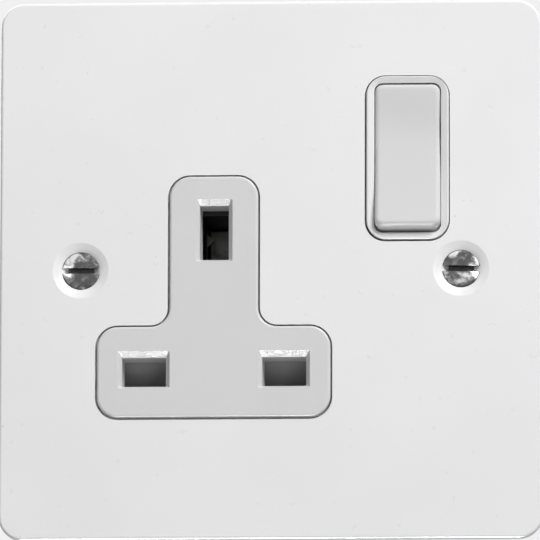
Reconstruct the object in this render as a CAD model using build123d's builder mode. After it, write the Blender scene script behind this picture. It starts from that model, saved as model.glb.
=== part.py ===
from build123d import *
from math import cos, radians, sin, sqrt, tan
import os

os.makedirs("parts", exist_ok=True)

# Frame: +Z up, the plate faces -Y, and the origin is on the wall at the middle of the plate.
# Sizes are in millimetres.

# Plate and the spacer behind it
plate_side = 86.0
plate_corner_radius = 3.8
plate_thickness = 1.6
plate_edge_radius = 0.5
gasket_thickness = 1.4
gasket_inset = 1.0
gasket_clearance = 0.4
plate_front = -(plate_thickness + gasket_thickness)
plate_back = -gasket_thickness

# Fixing screws and their dished holes
screw_pitch = 60.3
screw_radius = 1.75
screw_length = 24.0
screw_head_radius = 3.0
screw_head_drop = 0.5
screw_head_dome = 0.35
screw_slot_width = 0.9
screw_slot_depth = 0.8
screw_tip_chamfer = 0.4
dish_radius = 4.45
dish_lip_radius = 0.6
head_clearance = 0.06
gasket_screw_hole_radius = 3.3

# Mouldings behind the plate
body_side = 66.0
body_corner_radius = 6.0
body_notch_radius = 3.2
front_wall_back = 2.5
housing_back = 22.5
housing_wall = 1.5
housing_floor_thickness = 1.6
housing_floor = housing_back - housing_floor_thickness

# Three-pin socket: pitch of the pins, slots and the T-shaped boss
pin_pitch = 22.23
socket_x = -9.0
live_z = -16.2
earth_z = live_z + pin_pitch
live_slot_width = 7.0
live_slot_height = 4.65
earth_slot_width = 4.6
earth_slot_height = 8.7
slot_corner_radius = 0.15
slot_draft = 2.0
funnel_width = 0.65
funnel_depth = 0.9
funnel_rise = 0.3
funnel_corner_radius = 0.3
tee_bar_width = 37.0
tee_bar_bottom = -23.5
tee_shoulder = -9.0
tee_top = 15.0
tee_stem_width = 14.05
tee_outer_radius = 3.3
tee_inner_radius = 3.0
tee_gap = 0.3
tee_edge_radius = 0.4
neutral_x = socket_x - pin_pitch / 2
line_x = socket_x + pin_pitch / 2

# Rocker switch
switch_x = 21.7
switch_z = 17.8
surround_width = 13.1
surround_height = 26.2
surround_radius = 3.1
surround_gap = 0.2
surround_back = 3.7
surround_tab_height = 8.0
surround_tab_reach = 1.4
surround_edge_radius = 0.25
surround_slope_width = 0.95
surround_slope_depth = 0.28
rocker_opening_width = 10.6
rocker_opening_height = 24.0
rocker_opening_radius = 1.35
rocker_side_gap = 0.18
rocker_end_gap = 0.15
rocker_tilt = 7.0
rocker_face_depth = 3.25
rocker_face_hollow = 0.45
rocker_skirt = 1.2
rocker_wall = 1.3
rocker_end_wall = 1.6
rocker_corner_radius = 1.3
rocker_edge_radius = 0.75
pivot_y = 0.0
pivot_radius = 1.2
pivot_clearance = 0.05
pivot_reach = 1.0
pivot_snap = 0.3
stem_length = 8.0
stem_half_width = 4.5
stem_root_half = 2.9
stem_tip_half = 2.1

# Plungers, see-saw contacts and what they switch
pole_spacing = 5.3
plunger_radius = 1.15
plunger_clearance = 0.08
plunger_bore_depth = 8.4
plunger_tip = 10.2
plunger_length = 5.4
plunger_spring_radius = 0.8
plunger_spring_wire = 0.16
plunger_spring_turns = 3
spring_end_gap = 0.1
contact_tilt = 10.0
contact_gap = 0.05
contact_thickness = 1.0
contact_half_length = 8.5
strip_width = 3.2
strip_thickness = 0.8
strip_gap = 0.05
feed_thickness = 1.0
feed_front = 13.6
post_nose = 0.45
post_foot_half = 1.3
fixed_tip_height = 0.55
tab_bend_radius = 0.6
tip_radius = 1.4
tip_height = 0.6
tip_dome_radius = 3.0
tip_offset = 7.2
tip_gap = 0.08
pole_xs = {"line": switch_x + pole_spacing / 2, "neutral": switch_x - pole_spacing / 2}
fulcrum_y = pivot_y + plunger_tip + contact_gap * 2 + contact_thickness

# Pin clips
run_front = 10.5
clip_sheet = 0.6
pin_thickness = 4.0
half_pin = pin_thickness / 2
leaf = half_pin + clip_sheet / 2
live_clip_mouth = 8.3
live_clip_back = 15.4
clip_width = 5.8
earth_clip_mouth = 4.6
earth_clip_back = 20.2
earth_clip_height = 7.0
earth_leaf_curve = 4.0
earth_rib_width = 6.4

# Terminals
terminal_width = 7.5
terminal_height = 8.0
terminal_front = feed_front + feed_thickness + strip_gap
terminal_back = housing_floor - 0.5
terminal_bore_radius = 1.9
terminal_bore_wall = 0.9
terminal_corner_radius = 0.8
terminal_slot_width = 0.7
terminal_screw_bite = 0.4
terminal_screw_radius = 1.5
terminal_screw_head_radius = 2.1
terminal_screw_head = 1.6
terminal_z = -24.0
earth_terminal_z = 25.5
pocket_wall = 1.35
pocket_play = 0.3
wire_hole_radius = terminal_bore_radius + 0.4
terminal_line_x = 26.2
terminal_neutral_x = 16.9
earth_inner_x = -16.0
earth_outer_x = -25.0

# Strap from the earth contact to the plate
strap_thickness = 0.5
strap_width = 4.4
strap_bend_z = 17.2
strap_foot = 5.5
strap_lap = 5.0
strap_play = 0.5
rivet_radius = 1.5
rivet_height = 0.6

# Shutter
shutter_travel = 5.6
shutter_front = front_wall_back + 0.2
shutter_sheet_front = 6.2
shutter_back = 7.7
shutter_half_width = 16.4
shutter_top = -11.5
shutter_bottom = -26.0
ramp_foot = live_z - live_slot_height / 2 - 0.8
ramp_head = live_z + live_slot_height / 2 + 0.4
ramp_half_width = live_slot_width / 2 + 0.9
window_height = 5.3
window_half_width = 4.0
rail_gap = 0.3
rail_thickness = 1.2
spring_y = 5.2
spring_radius = 1.5
spring_wire = 0.28
spring_turns = 4
spring_seat_z = -1.0
spring_seat_thickness = 1.6
spring_seat_width = 6.4
spring_peg_gap = 0.2
spring_peg_height = 1.8
spring_peg_taper = 6
bridge_thickness = 1.2

# Outside of the rear housing
housing_edge_bevel = 0.8
parting_back = front_wall_back + 0.6
parting_depth = 0.35
back_panel_width = 30.0
back_panel_height = 22.0
back_panel_radius = 2.5
back_panel_depth = 0.5
back_rib_pitch = 3.6
back_rib_count = 5
back_rib_width = 1.2
back_rib_margin = 3.0
wire_funnel = 0.6
clip_rib_reach = 1.6
shutter_back_gap = 0.25
feed_block_height = 7.0
shelf_gap = 0.2
shelf_front = 6.6
shelf_thickness = 1.2

# Screws that close the housing
housing_screw_places = [(8.5, 27.0), (-27.5, 12.0), (-28.0, -28.0), (10.4, -28.6)]
boss_radius = 2.4
boss_back = 8.0
housing_screw_radius = 1.1
housing_screw_head_radius = 2.0
housing_screw_head = 1.2
housing_screw_tip = 3.0
head_play = 0.2
shank_play = 0.3
recess_length = 2.4
recess_width = 0.6
recess_depth = 0.7
thread_play = 0.05
pilot_depth = 1.5

# How far one shape runs into the next where the two are one piece
join = 0.1


def facing(y):
    """Plane at depth y, seen from the front: local x is X and local y is Z."""
    return Plane.XZ.offset(-y)


def side(x, y=0.0, z=0.0, tilt=0.0):
    """Plane across the object: local x runs back from (y, z), local y runs up, turned by tilt about X."""
    back = (0, cos(radians(tilt)), sin(radians(tilt)))
    return Plane(origin=(x, y, z), x_dir=back, z_dir=(1, 0, 0))


def looking_along(origin, direction):
    """Plane with its normal along a direction that has no X part, and its local x along X."""
    return Plane(origin=origin, x_dir=(1, 0, 0), z_dir=direction)


def finish(part, name):
    part.label = name
    export_step(part, f"parts/{name}.step")


# Shared outlines

with BuildSketch() as tee_outline:
    bar_height = tee_shoulder - tee_bar_bottom
    with Locations((socket_x, tee_bar_bottom + bar_height / 2)):
        RectangleRounded(tee_bar_width, bar_height, tee_outer_radius)
    stem_height = tee_top - tee_bar_bottom
    with Locations((socket_x, tee_bar_bottom + stem_height / 2)):
        RectangleRounded(tee_stem_width, stem_height, tee_outer_radius)
    inner_corners = tee_outline.vertices().filter_by(
        lambda v: abs(v.Y - tee_shoulder) < 0.01
        and abs(abs(v.X - socket_x) - tee_stem_width / 2) < 0.01
    )
    fillet(inner_corners, tee_inner_radius)

with BuildSketch() as surround_outline:
    with Locations((switch_x, switch_z)):
        RectangleRounded(surround_width, surround_height, surround_radius)

with BuildSketch() as body_outline:
    RectangleRounded(body_side, body_side, body_corner_radius)
    for side_sign in (-1, 1):
        with Locations((side_sign * screw_pitch / 2, 0)):
            Circle(body_notch_radius, mode=Mode.SUBTRACT)
        with Locations((side_sign * (screw_pitch + body_side) / 4, 0)):
            Rectangle((body_side - screw_pitch) / 2, body_notch_radius * 2, mode=Mode.SUBTRACT)

slots = [
    (neutral_x, live_z, live_slot_width, live_slot_height),
    (line_x, live_z, live_slot_width, live_slot_height),
    (socket_x, earth_z, earth_slot_width, earth_slot_height),
]
fixing_places = [(-screw_pitch / 2, 0), (screw_pitch / 2, 0)]

# Face plate

screw_seat = plate_front + screw_head_drop
with BuildPart() as face_plate:
    with BuildSketch(facing(plate_back)):
        RectangleRounded(plate_side, plate_side, plate_corner_radius)
    extrude(amount=plate_thickness)
    fillet(face_plate.faces().sort_by(Axis.Y)[0].edges(), plate_edge_radius)
    with BuildSketch(facing(plate_back)):
        add(tee_outline.sketch)
        offset(amount=tee_gap)
    extrude(amount=plate_thickness, mode=Mode.SUBTRACT)
    with BuildSketch(facing(plate_back)):
        add(surround_outline.sketch)
        offset(amount=surround_gap)
    extrude(amount=plate_thickness, mode=Mode.SUBTRACT)
    for screw_x, screw_z in fixing_places:
        seat_radius = screw_head_radius + head_clearance
        neck_radius = seat_radius - (plate_back - screw_seat)
        with BuildSketch(Plane(origin=(screw_x, 0, screw_z), z_dir=(0, 0, 1))):
            with BuildLine():
                Polyline(
                    (0, plate_front),
                    (dish_radius, plate_front),
                    (seat_radius, screw_seat),
                    (neck_radius, plate_back),
                    (0, plate_back),
                    close=True,
                )
            make_face()
        revolve(axis=Axis((screw_x, 0, screw_z), (0, 1, 0)), mode=Mode.SUBTRACT)
    dish_rims = face_plate.edges().filter_by(GeomType.CIRCLE)
    dish_rims = dish_rims.filter_by(lambda e: abs(e.radius - dish_radius) < 0.01)
    fillet(dish_rims, dish_lip_radius)
finish(face_plate.part, "face_plate")

# Spacer between plate and wall, with its opening round the body

with BuildPart() as plate_gasket:
    with BuildSketch(facing(0)):
        gasket_side = plate_side - 2 * gasket_inset
        RectangleRounded(gasket_side, gasket_side, plate_corner_radius - gasket_inset)
        add(body_outline.sketch, mode=Mode.SUBTRACT)
        with Locations(*fixing_places):
            Circle(gasket_screw_hole_radius, mode=Mode.SUBTRACT)
    extrude(amount=gasket_thickness)
finish(plate_gasket.part, "plate_gasket")

# Front moulding: T-shaped boss, funnelled slots, shutter rails and screw bosses

with BuildPart() as front_moulding:
    with BuildSketch(facing(front_wall_back)):
        add(body_outline.sketch)
        offset(amount=-gasket_clearance)
    extrude(amount=front_wall_back - plate_back)
    with BuildSketch(facing(plate_back)):
        add(tee_outline.sketch)
    extrude(amount=plate_thickness)
    tee_face = front_moulding.faces().sort_by(Axis.Y)[0]
    fillet(tee_face.edges(), tee_edge_radius)
    with BuildSketch(facing(front_wall_back)):
        add(surround_outline.sketch)
        offset(amount=surround_gap)
    extrude(amount=front_wall_back - plate_back, mode=Mode.SUBTRACT)
    throat_y = plate_front + funnel_depth
    slot_narrowing = 2 * (front_wall_back - throat_y) * tan(radians(slot_draft))
    for slot_x, slot_z, slot_width, slot_height in slots:
        throat = facing(throat_y) * Pos(slot_x, slot_z)
        mouth = facing(plate_front) * Pos(slot_x, slot_z + funnel_rise)
        exit_hole = facing(front_wall_back) * Pos(slot_x, slot_z)
        with BuildSketch(mouth):
            mouth_width = slot_width + 2 * funnel_width
            mouth_height = slot_height + 2 * funnel_width
            RectangleRounded(mouth_width, mouth_height, funnel_corner_radius)
        with BuildSketch(throat):
            RectangleRounded(slot_width, slot_height, slot_corner_radius)
        loft(ruled=True, mode=Mode.SUBTRACT)
        with BuildSketch(throat):
            RectangleRounded(slot_width, slot_height, slot_corner_radius)
        with BuildSketch(exit_hole):
            exit_width = slot_width - slot_narrowing
            exit_height = slot_height - slot_narrowing
            RectangleRounded(exit_width, exit_height, slot_corner_radius)
        loft(ruled=True, mode=Mode.SUBTRACT)
    with BuildSketch(facing(front_wall_back)):
        with Locations((earth_inner_x, strap_bend_z)):
            Rectangle(strap_width + strap_play, strap_thickness + strap_play)
    extrude(amount=front_wall_back - plate_back, mode=Mode.SUBTRACT)
    strap_pocket = strap_thickness + strap_play / 2
    with BuildSketch(facing(plate_back + strap_pocket)):
        with Locations((earth_inner_x, strap_bend_z + strap_foot / 2)):
            Rectangle(strap_width + strap_play, strap_foot + strap_thickness + strap_play)
    extrude(amount=strap_pocket, mode=Mode.SUBTRACT)
    with BuildSketch(facing(shutter_back)):
        rail_width = 2 * (shutter_half_width + rail_gap + rail_thickness)
        rail_bottom = shutter_bottom - rail_gap - rail_thickness
        rail_top = shutter_top + shutter_travel
        with Locations((socket_x, (rail_bottom + rail_top) / 2)):
            Rectangle(rail_width, rail_top - rail_bottom)
        with Locations((socket_x, (rail_bottom + rail_top) / 2 + rail_thickness)):
            inner_width = rail_width - 2 * rail_thickness
            Rectangle(inner_width, rail_top - rail_bottom, mode=Mode.SUBTRACT)
    extrude(amount=shutter_back - front_wall_back)
    with BuildSketch(facing(shutter_back)):
        with Locations((socket_x, spring_seat_z + spring_seat_thickness / 2)):
            Rectangle(spring_seat_width, spring_seat_thickness)
    extrude(amount=shutter_back - front_wall_back)
    with BuildSketch(facing(boss_back)):
        with Locations(*housing_screw_places):
            Circle(boss_radius)
    extrude(amount=boss_back - front_wall_back)
    with BuildSketch(facing(boss_back)):
        with Locations(*housing_screw_places):
            Circle(housing_screw_radius + thread_play)
    extrude(amount=boss_back - front_wall_back + pilot_depth, mode=Mode.SUBTRACT)
finish(front_moulding.part, "front_moulding")

# Rocker surround: a frame flush with the plate, a deep well behind it and slots for the pivots

with BuildPart() as switch_surround:
    with BuildSketch(facing(surround_back)):
        add(surround_outline.sketch)
    extrude(amount=surround_back - plate_front)
    with BuildSketch(facing(surround_back)):
        with Locations((switch_x, switch_z)):
            Rectangle(surround_width + 2 * surround_tab_reach, surround_tab_height)
    extrude(amount=surround_back - front_wall_back)
    with BuildSketch(facing(surround_back)):
        with Locations((switch_x, switch_z)):
            RectangleRounded(rocker_opening_width, rocker_opening_height, rocker_opening_radius)
    extrude(amount=surround_back - plate_front, mode=Mode.SUBTRACT)
    front_rim = switch_surround.faces().sort_by(Axis.Y)[0]
    fillet(front_rim.outer_wire().edges(), surround_edge_radius)
    slope_mouth = facing(plate_front) * Pos(switch_x, switch_z)
    slope_foot = facing(plate_front + surround_slope_depth) * Pos(switch_x, switch_z)
    with BuildSketch(slope_mouth):
        slope_mouth_width = rocker_opening_width + 2 * surround_slope_width
        slope_mouth_height = rocker_opening_height + 2 * surround_slope_width
        slope_mouth_radius = rocker_opening_radius + surround_slope_width
        RectangleRounded(slope_mouth_width, slope_mouth_height, slope_mouth_radius)
    with BuildSketch(slope_foot):
        RectangleRounded(rocker_opening_width, rocker_opening_height, rocker_opening_radius)
    loft(ruled=True, mode=Mode.SUBTRACT)
    with BuildSketch(Plane.YZ.offset(switch_x)):
        with Locations((pivot_y, switch_z)):
            Circle(pivot_radius + pivot_clearance)
        pivot_throat = 2 * (pivot_radius + pivot_clearance) - pivot_snap
        with Locations(((pivot_y + surround_back) / 2, switch_z)):
            Rectangle(surround_back - pivot_y, pivot_throat)
    extrude(amount=surround_width / 2, both=True, mode=Mode.SUBTRACT)
finish(switch_surround.part, "switch_surround")

# Rocker, tilted to off: hollow cap with arched ends, pivots and a stem with two bores

rocker_half_width = rocker_opening_width / 2 - rocker_side_gap
rocker_end_radius = rocker_opening_height / 2 - rocker_end_gap
rocker_plane = side(switch_x, pivot_y, switch_z, -rocker_tilt)
stem_back = rocker_plane.from_local_coords((stem_length, 0, 0))
stem_plane = looking_along(stem_back, rocker_plane.x_dir)


def on_end_arc(depth):
    return sqrt(rocker_end_radius**2 - depth**2)


with BuildPart() as rocker:
    with BuildSketch(rocker_plane):
        face_end = on_end_arc(rocker_face_depth)
        skirt_end = on_end_arc(rocker_skirt)
        with BuildLine():
            ThreePointArc(
                (-rocker_face_depth, -face_end),
                (-rocker_face_depth + rocker_face_hollow, 0),
                (-rocker_face_depth, face_end),
            )
            ThreePointArc((-rocker_face_depth, face_end), (-1, on_end_arc(1)), (rocker_skirt, skirt_end))
            Line((rocker_skirt, skirt_end), (rocker_skirt, -skirt_end))
            ThreePointArc((rocker_skirt, -skirt_end), (-1, -on_end_arc(1)), (-rocker_face_depth, -face_end))
        make_face()
    extrude(amount=rocker_half_width, both=True)
    end_arcs = rocker.edges().filter_by(GeomType.CIRCLE)
    end_arcs = end_arcs.filter_by(lambda e: abs(e.radius - rocker_end_radius) < 0.01)
    fillet(end_arcs, rocker_corner_radius)
    touch_face = rocker.faces().sort_by(lambda f: rocker_plane.to_local_coords(f.center()).X)[0]
    fillet(touch_face.edges(), rocker_edge_radius)
    with BuildSketch(rocker_plane):
        pocket_front = -rocker_face_depth + rocker_face_hollow + rocker_wall
        with Locations(((pocket_front + rocker_skirt) / 2, 0)):
            Rectangle(rocker_skirt - pocket_front, 2 * (rocker_end_radius - rocker_end_wall))
    extrude(amount=rocker_half_width - rocker_wall, both=True, mode=Mode.SUBTRACT)
    with BuildSketch(rocker_plane):
        with BuildLine():
            Polyline(
                (pocket_front - join, -stem_root_half),
                (stem_length, -stem_tip_half),
                (stem_length, stem_tip_half),
                (pocket_front - join, stem_root_half),
                close=True,
            )
        make_face()
    extrude(amount=stem_half_width, both=True)
    with BuildSketch(rocker_plane):
        Circle(pivot_radius)
    extrude(amount=rocker_half_width + pivot_reach, both=True)
    with BuildSketch(stem_plane):
        with GridLocations(pole_spacing, 0, 2, 1):
            Circle(plunger_radius + plunger_clearance)
    extrude(amount=-plunger_bore_depth, mode=Mode.SUBTRACT)
finish(rocker.part, "rocker")

# Plungers and their springs, one for each pole, in the rocker's stem

for pole, pole_x in pole_xs.items():
    pole_plane = side(pole_x, pivot_y, switch_z, -rocker_tilt)
    pole_axis = Axis(pole_plane.origin, pole_plane.x_dir)
    with BuildPart() as plunger:
        with BuildSketch(pole_plane):
            shoulder = plunger_tip - plunger_radius
            with BuildLine():
                Line((plunger_tip - plunger_length, 0), (plunger_tip - plunger_length, plunger_radius))
                Line((plunger_tip - plunger_length, plunger_radius), (shoulder, plunger_radius))
                RadiusArc((shoulder, plunger_radius), (plunger_tip, 0), plunger_radius)
                Line((plunger_tip, 0), (plunger_tip - plunger_length, 0))
            make_face()
        revolve(axis=pole_axis)
    finish(plunger.part, f"plunger_{pole}")

    bore_end = stem_length - plunger_bore_depth
    spring_length = plunger_tip - plunger_length - bore_end - 2 * spring_end_gap
    spring_start = pole_plane.from_local_coords((bore_end + spring_end_gap, 0, 0))
    with BuildPart() as plunger_spring:
        with BuildLine() as plunger_coil:
            Helix(
                pitch=(spring_length - 2 * plunger_spring_wire) / plunger_spring_turns,
                height=spring_length - 2 * plunger_spring_wire,
                radius=plunger_spring_radius,
                center=spring_start,
                direction=pole_plane.x_dir,
            )
        with BuildSketch(plunger_coil.line ^ 0):
            RegularPolygon(plunger_spring_wire, 4)
        sweep(path=plunger_coil.line)
    finish(plunger_spring.part, f"plunger_spring_{pole}")

# See-saw contacts, tilted to off, with a domed tip at the lower end

for pole, pole_x in pole_xs.items():
    saw_plane = side(pole_x, fulcrum_y, switch_z, contact_tilt)
    with BuildPart() as moving_contact:
        with BuildSketch(saw_plane):
            with Locations((-contact_gap - contact_thickness / 2, 0)):
                Rectangle(contact_thickness, 2 * contact_half_length)
        extrude(amount=strip_width / 2, both=True)
        saw_ends = moving_contact.edges().filter_by(
            lambda e: abs(e.length - contact_thickness) < 0.01
        )
        fillet(saw_ends, strip_width / 3)
    finish(moving_contact.part, f"moving_contact_{pole}")

    tip_centre = saw_plane.from_local_coords((0, -tip_offset, 0))
    with BuildPart() as contact_tip:
        with BuildSketch(saw_plane):
            tip_foot = -contact_gap - contact_thickness
            tip_crown = tip_foot - tip_height
            dome_drop = tip_dome_radius - sqrt(tip_dome_radius**2 - tip_radius**2)
            with BuildLine():
                Line((tip_foot, -tip_offset), (tip_foot, tip_radius - tip_offset))
                Line((tip_foot, tip_radius - tip_offset), (tip_crown + dome_drop, tip_radius - tip_offset))
                RadiusArc(
                    (tip_crown + dome_drop, tip_radius - tip_offset),
                    (tip_crown, -tip_offset),
                    -tip_dome_radius,
                )
                Line((tip_crown, -tip_offset), (tip_foot, -tip_offset))
            make_face()
        revolve(axis=Axis(tip_centre, saw_plane.x_dir))
    finish(contact_tip.part, f"contact_tip_{pole}")

# Feed strips from the terminals, each with the fulcrum post of its see-saw

feed_routes = {
    "line": [(23.4, 6.0), (23.4, -8.0), (terminal_line_x, -13.0), (terminal_line_x, terminal_z + 2)],
    "neutral": [
        (pole_xs["neutral"], -8.0),
        (terminal_neutral_x, -12.0),
        (terminal_neutral_x, terminal_z + 2),
    ],
}
for pole, pole_x in pole_xs.items():
    with BuildPart() as feed_strip:
        with BuildSketch(facing(feed_front + feed_thickness)):
            with BuildLine():
                Polyline((pole_x, switch_z + 3), (pole_x, switch_z - 9), *feed_routes[pole])
            trace(line_width=strip_width)
        extrude(amount=feed_thickness)
        with BuildSketch(side(pole_x, fulcrum_y, switch_z)):
            post_foot = feed_front - fulcrum_y + join
            with BuildLine():
                Line((post_nose, post_nose), (post_foot, post_foot_half))
                Line((post_foot, post_foot_half), (post_foot, -post_foot_half))
                Line((post_foot, -post_foot_half), (post_nose, -post_nose))
                ThreePointArc((post_nose, -post_nose), (0, 0), (post_nose, post_nose))
            make_face()
        extrude(amount=strip_width / 2, both=True)
    finish(feed_strip.part, f"feed_strip_{pole}")

# Live pin clips, each with a strip to the front of its see-saw's lower end

on_plane = side(0, fulcrum_y, switch_z, -contact_tilt)
dome_centre = on_plane.from_local_coords((tip_crown + tip_dome_radius, -tip_offset, 0))
fixed_tip_back = dome_centre.Y - tip_dome_radius - tip_gap
fixed_tip_z = dome_centre.Z
tab_back = fixed_tip_back - fixed_tip_height
shelf_z = fixed_tip_z - 4.1
run_middle = run_front + strip_thickness / 2
clip_places = {"line": line_x, "neutral": neutral_x}
run_routes = {
    "line": [(23.4, 4.0), (23.4, -8.0), (line_x, -8.0)],
    "neutral": [(pole_xs["neutral"], -2.2), (neutral_x, -2.2)],
}
for pole, clip_x in clip_places.items():
    pole_x = pole_xs[pole]
    with BuildPart() as live_contact:
        with BuildSketch(side(clip_x, 0, live_z)):
            with BuildLine():
                FilletPolyline(
                    (live_clip_mouth, leaf + 1.2),
                    (live_clip_mouth + 2, leaf),
                    (live_clip_back, leaf + 0.3),
                    (live_clip_back, -leaf - 0.3),
                    (live_clip_mouth + 2, -leaf),
                    (live_clip_mouth, -leaf - 1.2),
                    radius=clip_sheet,
                )
            trace(line_width=clip_sheet)
        extrude(amount=clip_width / 2, both=True)
        with BuildSketch(facing(run_front + strip_thickness)):
            with BuildLine():
                Polyline(
                    (pole_x, shelf_z),
                    *run_routes[pole],
                    (clip_x, live_z + leaf + 0.05),
                )
            trace(line_width=strip_width)
        extrude(amount=strip_thickness)
        with BuildSketch(side(pole_x)):
            tab_middle = tab_back - strip_thickness / 2
            with BuildLine():
                FilletPolyline(
                    (run_middle, shelf_z - 1.2),
                    (run_middle, shelf_z),
                    (tab_middle, shelf_z),
                    (tab_middle, fixed_tip_z + 2),
                    radius=tab_bend_radius,
                )
            trace(line_width=strip_thickness)
        extrude(amount=strip_width / 2, both=True)
    finish(live_contact.part, f"{pole}_contact")

with BuildPart() as fixed_contact_tips:
    with BuildSketch(facing(fixed_tip_back)):
        with Locations(*[(x, fixed_tip_z) for x in pole_xs.values()]):
            Circle(tip_radius)
    extrude(amount=fixed_tip_height)
finish(fixed_contact_tips.part, "fixed_contact_tips")

# Earth contact: a deep clip and the strip to its two terminals

with BuildPart() as earth_contact:
    with BuildSketch(Plane.XY.offset(earth_z)):
        with BuildLine():
            FilletPolyline(
                (socket_x - leaf - 1.0, earth_clip_mouth),
                (socket_x - leaf, earth_clip_mouth + 3),
                (socket_x - leaf - 0.4, earth_clip_back),
                (socket_x + leaf + 0.4, earth_clip_back),
                (socket_x + leaf, earth_clip_mouth + 3),
                (socket_x + leaf + 1.0, earth_clip_mouth),
                radius=0.8,
            )
        trace(line_width=clip_sheet)
    extrude(amount=earth_clip_height / 2, both=True)
    with BuildSketch(side(socket_x, 0, earth_z)):
        leaf_top = earth_clip_height / 2
        leaf_nose = earth_clip_mouth - clip_sheet
        with BuildLine():
            Line((leaf_nose, leaf_top), (earth_clip_back + 1, leaf_top))
            Line((earth_clip_back + 1, leaf_top), (earth_clip_back + 1, -leaf_top))
            Line((earth_clip_back + 1, -leaf_top), (leaf_nose + earth_leaf_curve, -leaf_top))
            RadiusArc(
                (leaf_nose + earth_leaf_curve, -leaf_top),
                (leaf_nose, -leaf_top + earth_leaf_curve),
                earth_leaf_curve,
            )
            Line((leaf_nose, -leaf_top + earth_leaf_curve), (leaf_nose, leaf_top))
        make_face()
    extrude(amount=earth_clip_height, both=True, mode=Mode.INTERSECT)
    with BuildSketch(facing(feed_front + feed_thickness)):
        with BuildLine():
            Polyline(
                (socket_x - leaf, earth_z),
                (earth_inner_x, earth_z + 5),
                (earth_inner_x, earth_terminal_z - 3),
                (earth_outer_x, earth_terminal_z - 3),
                (earth_outer_x, earth_terminal_z + 1),
            )
        trace(line_width=strip_width)
    extrude(amount=feed_thickness)
finish(earth_contact.part, "earth_contact")

# Terminals: brass blocks with a wire bore along Z and a clamping screw from the back

terminals = {
    "terminal_line": (terminal_line_x, terminal_z),
    "terminal_neutral": (terminal_neutral_x, terminal_z),
    "terminal_earth_inner": (earth_inner_x, earth_terminal_z),
    "terminal_earth_outer": (earth_outer_x, earth_terminal_z),
}
terminal_depth = terminal_back - terminal_front
bore_y = terminal_front + terminal_bore_radius + terminal_bore_wall
for name, (block_x, block_z) in terminals.items():
    with BuildPart() as terminal:
        with BuildSketch(facing(terminal_back)):
            with Locations((block_x, block_z)):
                RectangleRounded(terminal_width, terminal_height, terminal_corner_radius)
        extrude(amount=terminal_depth)
        with BuildSketch(Plane.XY.offset(block_z)):
            with Locations((block_x, bore_y)):
                Circle(terminal_bore_radius)
        extrude(amount=terminal_height, both=True, mode=Mode.SUBTRACT)
        with BuildSketch(facing(terminal_back)):
            with Locations((block_x, block_z)):
                Circle(terminal_screw_radius + thread_play)
        extrude(amount=terminal_back - bore_y, mode=Mode.SUBTRACT)
    finish(terminal.part, name)

with BuildPart() as terminal_screws:
    screw_tip = bore_y + terminal_bore_radius - terminal_screw_bite
    with BuildSketch(facing(terminal_back)):
        with Locations(*terminals.values()):
            Circle(terminal_screw_radius)
    extrude(amount=terminal_back - screw_tip)
    with BuildSketch(facing(terminal_back + terminal_screw_head)):
        with Locations(*terminals.values()):
            Circle(terminal_screw_head_radius)
    extrude(amount=terminal_screw_head)
    with BuildSketch(facing(terminal_back + terminal_screw_head)):
        with Locations(*terminals.values()):
            Rectangle(2 * terminal_screw_head_radius, terminal_slot_width)
    extrude(amount=terminal_screw_head / 2, mode=Mode.SUBTRACT)
finish(terminal_screws.part, "terminal_screws")

# Shutter: a sheet with two windows, a ramp above each and a bridge that carries the spring

with BuildPart() as shutter:
    with BuildSketch(facing(shutter_back)):
        with Locations((socket_x, (shutter_top + shutter_bottom) / 2)):
            RectangleRounded(2 * shutter_half_width, shutter_top - shutter_bottom, 1.0)
        with Locations(*[(x, ramp_foot - window_height / 2) for x in clip_places.values()]):
            RectangleRounded(2 * window_half_width, window_height, 0.5, mode=Mode.SUBTRACT)
    extrude(amount=shutter_back - shutter_sheet_front)
    for ramp_x in clip_places.values():
        with BuildSketch(side(ramp_x)):
            with BuildLine():
                Polyline(
                    (shutter_back, shutter_top),
                    (shutter_front, shutter_top),
                    (shutter_front, ramp_head),
                    (shutter_sheet_front + 1, ramp_foot),
                    (shutter_back, ramp_foot),
                    close=True,
                )
            make_face()
        extrude(amount=ramp_half_width, both=True)
    bridge_width = pin_pitch - 2 * ramp_half_width + 1
    with BuildSketch(facing(shutter_sheet_front)):
        with Locations((socket_x, shutter_top - bridge_thickness / 2)):
            Rectangle(bridge_width, bridge_thickness)
    extrude(amount=shutter_sheet_front - shutter_front)
    with BuildSketch(Plane.XY.offset(shutter_top)):
        with Locations((socket_x, spring_y)):
            Circle(spring_radius - spring_wire - spring_peg_gap)
    extrude(amount=spring_peg_height, taper=spring_peg_taper)
finish(shutter.part, "shutter")

# Shutter spring, between the shutter's bridge and the seat above it

with BuildPart() as shutter_spring:
    coil_height = spring_seat_z - shutter_top - 2 * (spring_wire + spring_end_gap)
    coil_start = Plane(origin=(socket_x, spring_y, shutter_top + spring_wire + spring_end_gap))
    with BuildLine(coil_start) as shutter_coil:
        Helix(pitch=coil_height / spring_turns, height=coil_height, radius=spring_radius)
    with BuildSketch(shutter_coil.line ^ 0):
        RegularPolygon(spring_wire, 4)
    sweep(path=shutter_coil.line)
finish(shutter_spring.part, "shutter_spring")

# Rear housing: a tray with screw bosses, ribs that hold the clips, and pockets for the terminals

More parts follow.
